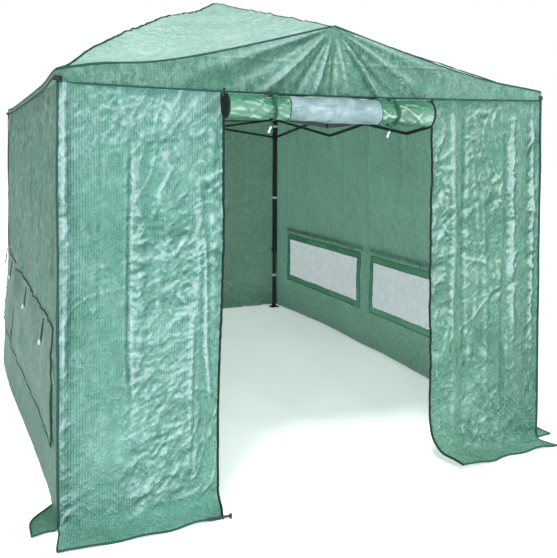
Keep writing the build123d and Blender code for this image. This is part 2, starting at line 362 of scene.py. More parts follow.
def film(name, dark, mid, light, through, share=0.28, weave=0.55, crinkle=0.7, rough=0.22, white=0.3, see=0.08,
         edge=0.95, gloss=1.0, woven_to=None):
    """Reinforced green film: a fine rib weave, cloudy colour, whitened glossy creases with painted highlights and
    painted shade in the grooves, light coming through.
    """
    sh = Shader(name)
    uv = sh.node("UVMap", uv_map="metres")
    x, y, _ = sh.axes(uv)
    base = sh.ramp(sh.noise(uv, 2.6, 5.0, 0.6), (0.34, dark), (0.5, mid), (0.68, light))

    pitch = 2 * math.pi * 90.0
    rib, cross = (sh.math("MULTIPLY_ADD", sh.math("SINE", sh.times(at, k))) for at, k in ((x, pitch), (y, pitch * 0.7)))
    thread = sh.math("MAXIMUM", sh.math("POWER", rib, 3.0), sh.times(sh.math("POWER", cross, 7.0), 0.35))
    worn = sh.ramp(sh.noise(uv, 2.2, 3.0), (0.36, 0.15), (0.62, 1))
    if woven_to:
        near = sh.node("MapRange", {"Value": x, 1: woven_to[0], 2: woven_to[1], 3: 1.5, 4: 0.0})
        worn = sh.math("MAXIMUM", worn, near)
    woven = sh.times(sh.times(thread, worn), weave)
    base = sh.mix(woven, base, scaled(dark, 0.36))

    long = sh.node("Mapping", {"Vector": uv, "Scale": (1.55, 1.0, 1.0), "Rotation": (0, 0, 0.35)})
    crease, fine = sh.noise(long, 11.0, 7.0, 0.64, 1.4), sh.noise(long, 42.0, 4.0, 0.6, 1.0)
    # Vein lines and patches whitened towards the pale colour, as much as white says: stress whitening of the film with
    # painted highlights of its crinkles.
    veins = []
    for scale, sharp in ((8.0, 20.0), (21.0, 11.0)):
        off = sh.math("ABSOLUTE", sh.math("SUBTRACT", sh.noise(long, scale, 2.5, 0.5, 0.7), 0.5))
        veins.append(sh.math("POWER", sh.math("SUBTRACT", 1.0, sh.times(off, sharp), True), 1.3))
    vein = sh.math("MAXIMUM", veins[0], sh.times(veins[1], 0.85))
    patch = sh.ramp(sh.noise(uv, 3.0, 6.0, 0.72, 0.4), (0.36, 0.25), (0.66, 1))
    whitening_and_highlight_colour = tuple(min(1.0, a + 0.72 * c) for a, c in zip((0.42, 0.44, 0.5), light))
    base = sh.mix(sh.times(sh.times(vein, patch), white, True), base, whitening_and_highlight_colour)

    # The mesh's crease attribute: ridges and lit facets whitened (stress whitening with painted highlight), grooves
    # darkened (painted shade); edge sets how strong.
    folded = sh.node("Attribute", output="Fac", attribute_name="crease")
    ridge = sh.math("SUBTRACT", folded, 0.12, True)
    painted_groove_shade = sh.math("SUBTRACT", sh.times(folded, -1.0), 0.12, True)
    base = sh.mix(sh.times(ridge, edge), base, whitening_and_highlight_colour)
    base = sh.mix(sh.times(painted_groove_shade, 0.75 * edge), base, scaled(dark, 0.4))

    height = crease
    for layer, depth in ((vein, 0.16), (fine, 0.22), (thread, 0.015)):
        height = sh.math("ADD", height, sh.times(layer, depth))
    bump = sh.bump(height, crinkle, 0.075)
    rough = sh.ramp(crease, (0.35, rough + 0.14), (0.6, rough), (0.75, rough - 0.08))
    front = sh.surface(base, rough, bump, gloss, IOR=1.5)
    glow = sh.mix(sh.times(woven, 0.7), through, scaled(through, 0.4))
    back = sh.node("BsdfTranslucent", {"Color": glow, "Normal": bump})
    thin = sh.node("BsdfTransparent", {"Color": (0.62, 0.86, 0.76)})
    return sh.done(sh.layers(see, sh.layers(share, front, back), thin))


def clear_film(name, tones, behind, clear):
    """Whitish clear window film with soft creases and a faint mesh."""
    sh = Shader(name)
    uv = sh.node("UVMap", uv_map="metres")
    crease = sh.noise(uv, 9.0, 5.0, 0.5, 1.5)
    waves = [sh.math("SINE", sh.times(at, 2 * math.pi * 110)) for at in sh.axes(uv)[:2]]
    lines = [sh.math("POWER", sh.math("MAXIMUM", wave, 0.0), 3.0) for wave in waves]
    mesh = sh.times(sh.math("MAXIMUM", *lines), 0.22)
    base = sh.mix(mesh, sh.ramp(crease, *zip((0.35, 0.52, 0.7), tones)), (0.25, 0.34, 0.32))
    bump = sh.bump(crease, 0.5, 0.02)
    back = sh.node("BsdfTranslucent", {"Color": behind, "Normal": bump})
    seen = sh.node("BsdfTransparent", {"Color": (0.93, 0.97, 0.96)})
    return sh.done(sh.layers(clear, sh.layers(0.5, sh.surface(base, 0.2, bump, 0.7), back), seen))


def solid(name, colour, light, rough, scale, bump):
    """Painted or moulded surface with fine grain and slight wear."""
    sh = Shader(name)
    pos = sh.node("TexCoord", output="Object")
    fine, big = sh.noise(pos, scale, 4.0), sh.noise(pos, scale * 0.12, 3.0)
    base = sh.mix(0.25, sh.ramp(big, (0.3, colour), (0.7, light)), sh.ramp(fine, (0.3, colour), (0.75, light)))
    rough = sh.ramp(fine, (0.3, rough - 0.08), (0.7, rough + 0.1))
    return sh.done(sh.surface(base, rough, sh.bump(fine, bump, 0.002), 0.5))


def webbing(name, colour, light, pitch=1400.0):
    """Woven tape or piping: a fine diagonal thread over a matte base."""
    sh = Shader(name)
    pos = sh.node("TexCoord", output="Object")
    x, y, z = sh.axes(pos)
    wave = sh.math("SINE", sh.times(sh.math("ADD", sh.math("ADD", x, y), z), pitch))
    base = sh.mix(sh.math("MULTIPLY_ADD", wave, 0.25), colour, light)
    base = sh.mix(sh.noise(pos, 40.0, 3.0), base, tuple(0.5 * (a + b) for a, b in zip(colour, light)))
    return sh.done(sh.surface(base, 0.7, sh.bump(wave, 0.3, 0.001), 0.15))


WALL = film("film_wall", (0.046, 0.212, 0.134), (0.08, 0.285, 0.19), (0.134, 0.37, 0.27), (0.105, 0.36, 0.22))
WALL_LEFT = film("film_wall_left", (0.072, 0.292, 0.218), (0.118, 0.38, 0.302), (0.19, 0.475, 0.41),
                 (0.15, 0.45, 0.32), white=0.32, woven_to=(0.04, 0.26))
SIDE = film("film_side", (0.078, 0.222, 0.152), (0.11, 0.278, 0.2), (0.16, 0.35, 0.265), (0.25, 0.56, 0.4),
            share=0.35, weave=0.3, crinkle=0.75, rough=0.28, white=0.18, see=0.02, edge=0.42)
# A darker copy of the side film for the left wall's outside and the roof's valances: painted shade.
SIDE_LEFT_PAINTED_SHADE = film("film_side_left", (0.046, 0.165, 0.106), (0.068, 0.208, 0.14), (0.105, 0.27, 0.192),
                 (0.2, 0.48, 0.33), share=0.33, weave=0.3, crinkle=0.75, rough=0.32, white=0.12, see=0.02,
                 edge=0.5, gloss=0.45)
# A darker copy of the side film for the back wall, seen from inside: painted shade.
BACK_PAINTED_SHADE = film("film_back", (0.066, 0.18, 0.116), (0.093, 0.226, 0.152), (0.136, 0.285, 0.205), (0.215, 0.46, 0.31),
            share=0.33, weave=0.3, crinkle=0.75, rough=0.3, white=0.12, see=0.02, edge=0.42)
# The walls' green film made much lighter for the roof: painted sunlight on its top.
ROOF_PAINTED_SUNLIT = film("film_roof", (0.37, 0.77, 0.6), (0.515, 0.89, 0.73), (0.65, 0.95, 0.85), (0.28, 0.6, 0.44),
            share=0.24, weave=0.4, rough=0.26, white=0.4, see=0.03, edge=0.45)
GABLE_FILM = film("film_gable", (0.07, 0.255, 0.178), (0.118, 0.345, 0.25), (0.195, 0.46, 0.36),
                  (0.14, 0.43, 0.29), share=0.3, crinkle=0.8, rough=0.24, white=0.5, edge=0.8)
DOOR_FILM = film("film_door", (0.018, 0.135, 0.062), (0.031, 0.188, 0.094), (0.068, 0.28, 0.165), (0.06, 0.32, 0.16),
                 share=0.18, weave=0.12, crinkle=0.22, rough=0.14, white=0.08, see=0.02, edge=0.8)
BORDER = film("film_border", (0.085, 0.33, 0.19), (0.13, 0.42, 0.25), (0.19, 0.5, 0.32), (0.13, 0.43, 0.26),
              share=0.24, weave=0.2, crinkle=0.2, rough=0.3, white=0.15, edge=0.2)
PANE = clear_film("window_film", ((0.15, 0.22, 0.222), (0.22, 0.3, 0.305), (0.4, 0.51, 0.53)),
                  (0.34, 0.44, 0.45), 0.22)
PANE_ROLLED = clear_film("window_film_rolled", ((0.24, 0.38, 0.4), (0.36, 0.5, 0.54), (0.56, 0.7, 0.75)),
                         (0.38, 0.54, 0.56), 0.04)
BINDING = webbing("binding", (0.01, 0.042, 0.034), (0.022, 0.085, 0.066))
ZIP = webbing("zip_tape", (0.006, 0.01, 0.01), (0.016, 0.024, 0.022), 1800.0)
STRAP = webbing("tie_strap", (0.008, 0.05, 0.034), (0.02, 0.09, 0.062))
TIE = webbing("leg_tie", (0.62, 0.66, 0.66), (0.8, 0.84, 0.84), 1000.0)
TOGGLE = solid("toggle_white", (0.62, 0.66, 0.64), (0.82, 0.84, 0.82), 0.42, 60.0, 0.15)
METAL = solid("frame_powder_coat", (0.01, 0.012, 0.012), (0.028, 0.031, 0.031), 0.36, 220.0, 0.12)
MOULD = solid("moulded_black", (0.006, 0.007, 0.007), (0.02, 0.021, 0.021), 0.55, 320.0, 0.2)
RED = solid("button_red", (0.46, 0.012, 0.01), (0.62, 0.03, 0.02), 0.3, 90.0, 0.05)


# ---- camera, floor, light
def make_camera():
    """The photograph's camera, from a fit to the cover's plan."""
    yaw, pitch, roll = (math.radians(v) for v in (23.68, -1.374, 0.344))
    forward = Vector((math.sin(yaw) * math.cos(pitch), math.cos(yaw) * math.cos(pitch), math.sin(pitch)))
    right = Vector((math.cos(yaw), -math.sin(yaw), 0))
    up = right.cross(forward)
    right, up = (right * math.cos(roll) + up * math.sin(roll), up * math.cos(roll) - right * math.sin(roll))
    width, sensor = 558.0, 36.0
    cam = link("camera", bpy.data.cameras.new("camera"))
    turn = Matrix((right, up, -forward)).transposed().to_4x4()
    cam.matrix_world = Matrix.Translation((-1.5231, -4.7364, 1.5087)) @ turn
    cam.data.sensor_width = sensor
    cam.data.lens = 740.33 / width * sensor
    cam.data.shift_x, cam.data.shift_y = -11.1 / width, -114.0 / width
    cam.data.clip_end = 200.0
    bpy.context.scene.camera = cam
    bpy.context.scene.view_settings.view_transform = "Standard"


def make_floor():
    sh = Shader("floor_paint")
    base = sh.ramp(sh.noise(sh.node("TexCoord", output="Object"), 1.5, 2.0), (0.3, 0.9), (0.7, 0.94))
    paint = sh.node("BsdfPrincipled", {"Base Color": base, "Roughness": 0.9, "Specular IOR Level": 0.1,
                                       "Emission Color": (1, 1, 1), "Emission Strength": 0.36})
    far = 30.0
    verts = [(x * far, y * far, -0.001) for x, y in ((-1, -1), (1, -1), (1, 1), (-1, 1))]
    add_object("floor", verts, [(0, 1, 2, 3)], sh.done(paint))


def make_sky():
    """A dim sky, bright low down behind the object and white where the camera sees it."""
    sh = Shader("studio", bpy.data.worlds.new)
    bpy.context.scene.world = sh.owner
    x, y, z = sh.axes(sh.node("TexCoord", output="Generated"))
    away = sh.ramp(sh.math("ADD", sh.times(x, 0.4), sh.times(y, 0.92)), (0.15, 0), (0.5, 1))
    low = sh.ramp(z, (0.0, 1), (0.25, 1), (0.42, 0))
    sky = sh.mix(sh.times(away, low), (0.33, 0.36, 0.39), (1, 1, 1))
    sky = sh.mix(sh.node("LightPath", output="Is Camera Ray"), sky, (1, 1, 1))
    sh.done(sh.node("Background", {"Color": sky, "Strength": 1.0}), "World")


def light(name, kind, energy, way, at=(0, 0, 0), **attrs):
    data = bpy.data.lights.new(name, kind)
    data.energy = energy
    for key, value in attrs.items():
        setattr(data, key, value)
    ob = link(name, data)
    ob.location = at
    ob.rotation_euler = Vector(way).to_track_quat("-Z", "Y").to_euler()


make_camera()
make_floor()
make_sky()
light("overhead", "SUN", 2.7, (0.3, 0.34, -0.89), angle=math.radians(14))
for k, (*at, power) in enumerate(((2.6, -7.0, 2.4, 95), (-0.2, -8.0, 3.6, 85), (4.4, -6.3, 4.0, 60),
                                  (-4.6, -6.2, 2.8, 70), (1.2, -8.0, 0.9, 60), (-2.6, -7.4, 5.4, 70))):
    way = Vector((0, -1.7, 1.1)) - Vector(at)
    light(f"panel_{k + 1}", "AREA", power, way, at, shape="RECTANGLE", size=0.8, size_y=0.8)


# ---- relief of the walls
def creases(s, t, seed, big=0.011, fine=0.013):
    """Crumpled film: broad dents, sharp creases and patches of fine wrinkles."""
    patch = 0.35 + 0.65 * smooth(-0.25, 0.35, fbm(s / 0.3, t / 0.42, seed + 50, 2))
    return (big * crumple(s, t, seed, 0.15, 1.8) + 0.4 * fine * patch * crumple(s, t, seed + 5, 0.055, 1.25)
            + 0.42 * fine * patch * facets(s, t, seed + 12) + 0.006 * fbm(s / 0.22, t / 0.35, seed + 9, 2))


def add_folds(r, s, t, folds):
    """Near-vertical folds that wander a little and fade at both ends. Each has its place along s, its width and size,
    where it starts and ends in t, its seed and, where it leans, its slope and the t it leans about."""
    for at, width, size, t0, t1, seed, *lean in folds:
        slope, pivot = lean or (0, 0)
        centre = at + 0.012 * noise2(t / 0.35, np.zeros_like(t) + seed, seed)
        fade = smooth(t0 - 0.12, t0 + 0.08, t) * (1 - smooth(t1 - 0.1, t1 + 0.12, t))
        r = r + size * bump_at(s - slope * (t - pivot), centre, width) * fade
    return r


def edge_calm(s, length, reach=0.08):
    """Lower at both ends of a wall, where it is held."""
    return 0.2 + 0.8 * (smooth(0, reach, s) * smooth(0, reach, length - s))


LEFT_FOLDS = ((0.03, 0.013, 0.009, 0, 1.2, 1), (0.278, 0.008, -0.012, 0.3, 1.25, 2),
              (0.315, 0.024, 0.007, 0.35, 1.2, 3), (0.56, 0.022, 0.014, 0.45, 1.6, 4),
              (0.16, 0.008, -0.005, 0.25, 0.9, 5), (0.63, 0.02, 0.008, 0.2, 1, 6), (0.44, 0.03, 0.006, 0.1, 0.8, 8),
              (0.6, 0.01, 0.013, 0.65, 1.3, 12, 0.06, 0.9), (0.548, 0.01, -0.01, 1, 1.6, 13))
RIGHT_FOLDS = ((0.13, 0.016, 0.01, 0.1, 1.6, 1), (0.19, 0.014, -0.008, 0.1, 1.3, 2), (0.485, 0.018, 0.012, 0.1, 1.2, 3),
               (0.436, 0.016, -0.011, 0.2, 1.6, 4), (0.62, 0.014, 0.01, 0.1, 1.2, 5), (0.31, 0.02, 0.008, 0.5, 1.5, 6),
               (0.27, 0.014, 0.005, 0.25, 0.75, 14, 0.12, 0.5), (0.24, 0.014, 0.004, 0.85, 1.35, 15, -0.1, 1.1))
SIDE_FOLDS = ((3.25, 0.02, 0.022, 0.02, 0.16, 90), (3.05, 0.024, -0.016, 0.02, 0.24, 91),
              (2.8, 0.022, 0.016, 0.02, 0.3, 92), (0.42, 0.02, 0.018, 0.02, 0.14, 93),
              (0.6, 0.022, -0.012, 0.02, 0.22, 94))
BACK_FOLDS = [(at, 0.03, 0.007, 0.1, 1.1, k + 70) for k, at in enumerate((0.3, 0.75, 1.2, 1.62, 2.1))]


def zones_left(s, t):
    """Where the left front panel lies smooth, and where it is most creased."""
    calm = band(s, 0.05, 0.255, 0.03) * (1 - 0.7 * band(t, 0.74, 1.0, 0.06)) * smooth(0.15, 0.4, t)
    lively = band(s, 0.27, 0.56, 0.03) * band(t, 0.45, 1.62, 0.15)
    return calm, lively


def relief_front_left(s, t):
    calm, lively = zones_left(s, t)
    foot = smooth(HIGH - 0.03, HIGH + 0.03, t)
    wob = fbm(s / 0.07, t / 0.06, 401, 2)
    r = creases(s, t, 11) * (1 - 0.62 * calm) * (1 - 0.7 * foot)
    r = r + 0.0034 * lively * (ridged(s / 0.1 + 0.5 * wob, t / 0.026 + 0.5 * wob, 404, 2) - 0.4) * (1 - foot)
    r = r + 0.004 * lively * facets(s, t, 407, 0.03) * (1 - foot)
    r = add_folds(r, s, t, LEFT_FOLDS)
    r = r + 0.011 * bump_at(s, 0.012, 0.016) * smooth(0.02, 0.1, t) * (1 - 0.5 * smooth(0.9, 1.3, t))
    r = r + 0.012 * arch(s / LEFT_LEN) * smooth(0, 0.4, t)
    return r * (0.45 + 0.55 * smooth(0, 0.03, s)) * (0.5 + 0.5 * smooth(0, 0.12, t))


def tone_left(s, t):
    """Contrast and brightness of the left front panel's crease whitening and painted light: painted highlights on a
    corner band, a leaning streak near s = 0.6 and towards the top, darker at the foot.
    """
    calm, lively = zones_left(s, t)
    foot, high = smooth(HIGH - 0.02, HIGH + 0.03, t), 1 - smooth(0.3, 0.6, t)
    broken = 0.35 + 0.65 * smooth(-0.2, 0.5, fbm(s / 0.05, t / 0.09, 415, 2))
    # Painted highlights: a broken band at the corner and a leaning streak near s = 0.6.
    bright = broken * band(s, 0.006, 0.042, 0.012) * band(t, 0.02, 1.0, 0.3)
    bright = bright + band(s - 0.06 * (t - 0.9), 0.585, 0.635) * band(t, 0.5, 1.3, 0.15)
    # high paints a highlight towards the top; the foot is darker.
    shift = 0.14 * lively + 0.1 * high - 0.03 * calm + 0.24 * bright - 0.24 * foot
    return 1 - 0.1 * lively - 0.4 * calm - 0.4 * foot, shift


def zones_right(s, t):
    """Where the right front panel's old folds keep it smooth, and the columns that get painted highlights."""
    s = s + 0.006 * wander(t / 0.3, 411)
    flat = band(s, 0.13, 0.172) + band(s, 0.42, 0.452) + 0.8 * band(s, 0.518, 0.58)
    bright = band(s, 0.458, 0.508) * band(t, 0.15, 1.0, 0.1) + 0.8 * band(s, 0.592, 0.648) * band(t, 0.08, 0.9, 0.1)
    return flat * band(t, 0.12, 1.66, 0.08), bright + 0.7 * band(s, 0.02, 0.125) * band(t, 0.03, 0.75, 0.1)


def relief_front_right(s, t):
    flat, bright = zones_right(s, t)
    r = creases(s, t, 23) * (1 - 0.8 * flat + 0.25 * bright) * (1 - 0.7 * smooth(HIGH - 0.06, HIGH, t))
    r = add_folds(r, s, t, RIGHT_FOLDS) + 0.01 * arch(s / RIGHT_LEN) * smooth(0, 0.4, t)
    return r * (0.25 + 0.75 * smooth(0, 0.05, RIGHT_LEN - s)) * (0.5 + 0.5 * smooth(0, 0.12, t))


def tone_right(s, t):
    """Contrast and brightness of the right front panel's crease whitening and painted light: painted highlights in the
    bright columns, darker in the smooth bands and towards the bottom.
    """
    flat, bright = zones_right(s, t)
    low = smooth(1.05, 1.6, t)
    return 1 - 0.6 * flat + 0.2 * bright - 0.25 * low, 0.16 * bright - 0.2 * flat - 0.14 * low


def relief_side(s, t, seed, fullness):
    """Creases and hanging folds, over the wall's outward belly."""
    r = creases(s, t, seed, 0.014, 0.0075) + 0.008 * fbm(s / 0.8, t / 0.6, seed + 3, 2)
    hanging = [(0.25 + 0.5 * k + 0.1 * math.sin(seed + k * 2.1), 0.03, 0.01, 0.05,
                0.7 + 0.5 * math.sin(k * 1.7 + seed) ** 2, k + seed) for k in range(7)]
    r = add_folds(r, s, t, [*hanging, *SIDE_FOLDS])
    low = smooth(WALL_TOP - 0.45, WALL_TOP - 0.05, t)
    r = r * edge_calm(s, 2 * OUT_Y) * (0.3 + 0.7 * smooth(0, 0.08, t)) * (1 - 0.8 * low)
    fullest = 2.3
    rising = np.sin(0.5 * np.pi * np.clip(s / fullest, 0, 1)) ** 2
    falling = np.cos(0.5 * np.pi * np.clip((s - fullest) / (2 * OUT_Y - fullest), 0, 1)) ** 1.4
    return r + 0.095 * np.where(s < fullest, rising, falling) * np.clip(t / WALL_TOP, 0, 1) ** 1.2 * fullness


def relief_back(s, t):
    r = creases(s, t, 61, 0.014, 0.0075) + 0.006 * fbm(s / 0.7, t / 0.6, 64, 2)
    r = add_folds(r, s, t, BACK_FOLDS) + 0.018 * arch(s / (2 * OUT_X)) * arch(t / 1.95)
    return r * edge_calm(s, 2 * OUT_X) * (0.3 + 0.7 * smooth(0, 0.15, t))


def slide_left(s, t):
    """Sideways drift of the left front panel towards its foot."""
    k = s / LEFT_LEN
    return -0.022 * k ** 2 * smooth(0.5, 1.5, t) - (0.03 * k + 0.022 * (1 - k)) * smooth(HIGH, HIGH + SKIRT, t)


def slide_right(s, t):
    """Wavy door edge of the right front panel, and the spread of its foot."""
    k = np.clip(s / RIGHT_LEN, 0, 1)
    wave = 0.006 * np.sin(t * 5.2 + 0.6) * smooth(0.1, 0.4, t) * (1 - k) ** 2
    spread = 0.08 * (1 - k) ** 2 * smooth(HIGH - 0.28, HIGH + SKIRT, t) ** 1.3
    return wave + spread + 0.045 * k ** 2 * smooth(HIGH, HIGH + SKIRT, t)


# ---- walls with their ground skirts
class Wall:
    """One side of the cover. s runs along the wall, t down it and out along its skirt.

    bend is how high the skirt's curve starts and flare how far the skirt reaches, both along s. slide shifts points
    along the wall and turn says which way the skirt lies. tone gives the contrast and brightness of the crease
    whitening and its painted light."""

    def __init__(self, cad, mat, corner, along, out, length, relief, bend, flare, body, anchor, keep, flip,
                 slide=lambda s, t: 0 * s, turn=lambda s: 1 + 0 * s, tone=lambda s, t: (1.0, 0.0)):
        self.cad, self.mat, self.flip, self.length = cad, mat, flip, length
        self.corner, self.along, self.out = (np.array(v, float) for v in (corner, along, out))
        self.relief, self.bend, self.flare, self.slide, self.turn, self.tone = relief, bend, flare, slide, turn, tone
        self.body, self.squash = body, (along, anchor, keep)

    def hang(self, *obs):
        for ob in obs:
            place(ob, self.body, self.squash)

    def flat_points(self, s, t, extra):
        """Points of the upright part, moved out by extra."""
        off = self.relief(s, t) + extra
        p = self.corner + (s + self.slide(s, t))[..., None] * self.along + off[..., None] * self.out
        p[..., 2] = HIGH - t
        return p

    def grid(self, ss, tt):
        """Points of the whole sheet, bent out along the ground at its foot."""
        s, t = np.meshgrid(ss, tt)
        t = np.minimum(t, HIGH) + np.maximum(t - HIGH, 0) * (self.flare(ss)[None, :] / SKIRT)
        phi = math.radians(84) * smooth(HIGH - self.bend(ss)[None, :], HIGH + 0.035, t)
        dt = np.diff(t, axis=0, prepend=t[:1])
        mid = np.vstack([phi[:1], 0.5 * (phi[1:] + phi[:-1])])
        z = HIGH - np.cumsum(np.cos(mid) * dt, axis=0)
        out = np.cumsum(np.sin(mid) * dt, axis=0) * self.turn(ss)[None, :]
        off = self.relief(s, t)
        lie = smooth(HIGH - 0.03, HIGH + 0.05, t)
        ripple = 0.006 * (noise2(s / 0.11, t / 0.3, 77) + 0.9) * lie
        z = np.maximum(z + off * np.sin(phi) * 0.5, 0.0035) + ripple
        out = out + off * np.where(lie > 0, 1 - 0.25 * lie, 1)
        p = self.corner + (s + self.slide(s, t))[..., None] * self.along + out[..., None] * self.out
        p[..., 2] = z
        return p, s, t


ALONG_X, ALONG_Y = (1, 0, 0), (0, 1, 0)
LEFT_EDGE, RIGHT_EDGE, REAR_EDGE = (-OUT_X, 0, 0), (OUT_X, 0, 0), (0, OUT_Y, 0)
WALLS = {
    "front_left": Wall(
        "front_panel_left", WALL_LEFT, (-OUT_X, -OUT_Y, 0), ALONG_X, (0, -1, 0), LEFT_LEN, relief_front_left,
        lambda s: 0.045 + 0.02 * smooth(0.2, LEFT_LEN, s), lambda s: 0.155 - 0.02 * smooth(0.3, LEFT_LEN, s),
        "leg_fl", LEFT_EDGE, 0.26, True, slide=slide_left, tone=tone_left),
    "front_right": Wall(
        "front_panel_right", WALL, (DOOR_R, -OUT_Y, 0), ALONG_X, (0, -1, 0), RIGHT_LEN, relief_front_right,
        lambda s: 0.05 + 0.11 * (1 - smooth(0.0, 0.4, s)), lambda s: 0.105 - 0.005 * (1 - smooth(0.0, 0.3, s)),
        "leg_fr", RIGHT_EDGE, 0.26, True, slide=slide_right, tone=tone_right),
    "left": Wall(
        "left_wall", SIDE_LEFT_PAINTED_SHADE, (-OUT_X, -OUT_Y, 0), ALONG_Y, (-1, 0, 0), 2 * OUT_Y,
        lambda s, t: relief_side(s, t, 31, 1.0), lambda s: 0.04 + 0 * s, lambda s: 0.09 + 0.03 * smooth(0.3, 0.8, s),
        "leg_bl", REAR_EDGE, KEEP_Y, False,
        slide=lambda s, t: -0.035 * (1 - smooth(0, 0.3, s)) * smooth(HIGH, HIGH + SKIRT, t),
        turn=lambda s: 1 - 1.85 * smooth(0.08, 0.36, s) + 0.75 * smooth(3.22, 3.4, s)),
    "right": Wall(
        "right_wall", SIDE, (OUT_X, -OUT_Y, 0), ALONG_Y, (1, 0, 0), 2 * OUT_Y,
        lambda s, t: relief_side(s, t, 47, 0.35), lambda s: 0.05 + 0.01 * wander(s / 0.5, 6),
        lambda s: 0.07 + 0.045 * smooth(0.1, 0.6, s) + 0.012 * wander(s / 0.35, 7),
        "leg_br", REAR_EDGE, KEEP_Y, True),
    "back": Wall(
        "back_wall", BACK_PAINTED_SHADE, (-OUT_X, OUT_Y, 0), ALONG_X, (0, 1, 0), 2 * OUT_X, relief_back,
        lambda s: 0.05 + 0.02 * wander(s / 0.5, 8), lambda s: 0.13 + 0.015 * wander(s / 0.35, 9),
        "leg_bl", LEFT_EDGE, KEEP_X, False),
}


def cells_in(s, t, s0, s1, t0, t1):
    """Which cells of a grid lie inside a rectangle of the sheet."""
    s, t = (0.5 * (a[1:, 1:] + a[:-1, :-1]) for a in (s, t))
    return (s > s0) & (s < s1) & (t > t0) & (t < t1)


def build_wall(key):
    wall = WALLS[key]
    windows = WIN_S if key in ("left", "right") else ()
    step = FRONT_STEP if key.startswith("front") else STEP
    ss = lines_at([0, *sum(windows, ()), wall.length], step)
    tt = lines_at([0, *WIN_T, 1.6, WALL_TOP, WALL_TOP + SKIRT], step)
    p, s, t = wall.grid(ss, tt)
    uv = np.stack([s, -t], -1)
    window = sum((cells_in(s, t, *span, *WIN_T) for span in windows), np.zeros((len(tt) - 1, len(ss) - 1), bool))
    # Stress whitening and painted light of the wall's creases: painted highlights on ridges and lit facets, painted
    # shade in grooves.
    crease = crease_whitening_and_painted_light(wall.relief(s, t), (1.0, 0.4), *wall.tone(s, t))
    cloth = grid_object(f"{wall.cad}_film", p, wall.mat, uv, ~window, wall.flip, crease)
    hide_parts(wall.cad)
    hem = tubes(f"{wall.cad}_hem", [p[-1] + (0, 0, 0.001)], 0.0042, BINDING)
    lower = p[tt >= 1.7]
    ends = tubes(f"{wall.cad}_skirt_ends", [lower[:, 0], lower[:, -1]], 0.0036, BINDING)
    wall.hang(cloth, hem, ends)
    if windows:
        pane = grid_object(f"{key}_windows_film", p, PANE, uv, window, wall.flip)
        wall.hang(pane)
        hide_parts(f"{key}_windows")
    return p, cloth, [hem, ends]


BUILT = {key: build_wall(key) for key in WALLS}

for tag, key, column in (("left", "front_left", -1), ("right", "front_right", 0)):
    WALLS[key].hang(tubes(f"door_zip_{tag}", [BUILT[key][0][:, column]], 0.0055, ZIP))

for tag, sx, sy in CORNERS:
    z = np.linspace(0.02, WALL_TOP, 60)
    edge = np.stack([sx * (OUT_X + 0.001 + 0.002 * wander(z / 0.2, 3)), np.full_like(z, sy * (OUT_Y + 0.001)), z], 1)
    place(tubes(f"corner_seam_{tag}", [edge], 0.0055, BINDING), f"leg_{tag}")


# ---- roof and gables
def roof_z(x, y, wrinkle=True):
    """Height of the roof: a hipped shape that sags between its hips and swells along them."""
    u, v = np.minimum(np.abs(x) / OUT_X, 1), np.minimum(np.abs(y) / OUT_Y, 1)
    side = PEAK - u * (PEAK - EAVE)
    end = PEAK - v * (PEAK - GABLE) - u * (GABLE - EAVE)
    soft = 0.01
    z = np.minimum(side, end) - soft * 0.25 * np.clip(1 - np.abs(side - end) / soft, 0, 1) ** 2
    sv = v * np.sign(y)
    slack_side = 27 * (1 - u) * np.clip(u + sv, 0, None) * np.clip(u - sv, 0, None) / 4
    slack_end = 27 * u * (1 - v) * np.clip(v - u, 0, None)
    z = z - 0.03 * np.where(u >= v, slack_side, 0) - 0.02 * np.where(v > u, slack_end, 0)
    z = z - 0.026 * 4 * u * (1 - u) * (0.6 + 0.8 * u) * smooth(0.72, 1.0, v)
    t = 0.5 * (u + v)
    near = (x < 0) & (y < 0)
    swell_near = 0.056 * smooth(0.1, 0.5, t) * (1 - smooth(0.84, 1.0, t))
    swell_far = 0.034 * 4 * t * (1 - t) * np.clip(1 - t, 0, 1) ** 0.2
    z = z + np.where(near, swell_near, swell_far) * np.exp(-(((u - v) / 0.16) ** 2))
    corner = np.exp(-((1 - u) * OUT_X / 0.3) ** 2 - ((1 - v) * OUT_Y / 0.2) ** 2)
    z = z + np.where(near, 0.02, 0.012) * corner
    if wrinkle:
        calm = smooth(0, 0.06, 1 - u) * smooth(0, 0.03, 1 - v)
        ang, rad = np.arctan2(x / OUT_X, y / OUT_Y + 1e-9), np.hypot(x / OUT_X, y / OUT_Y)
        rays = 0.004 * fbm(ang * 3.2, rad * 0.8, 90, 2) * smooth(0.05, 0.4, rad)
        z = z + calm * (1.6 * rays + 0.013 * crumple(x, y, 95, 0.17, 1.2) + 0.006 * crumple(x, y, 99, 0.065, 1.1))
    return z


def roof_points(x, y):
    """Roof surface. Beyond the eave it turns down as the side valance."""
    over = np.maximum(np.abs(x) - OUT_X, 0)
    xs = np.sign(x) * (np.minimum(np.abs(x), OUT_X) + np.minimum(over, 0.004))
    z = roof_z(xs, y) - over - 0.006 * (1 - (y / OUT_Y) ** 2) * smooth(0.9, 1.0, np.abs(x) / OUT_X)
    return np.stack([xs, np.clip(y, -OUT_Y, OUT_Y), z], -1)


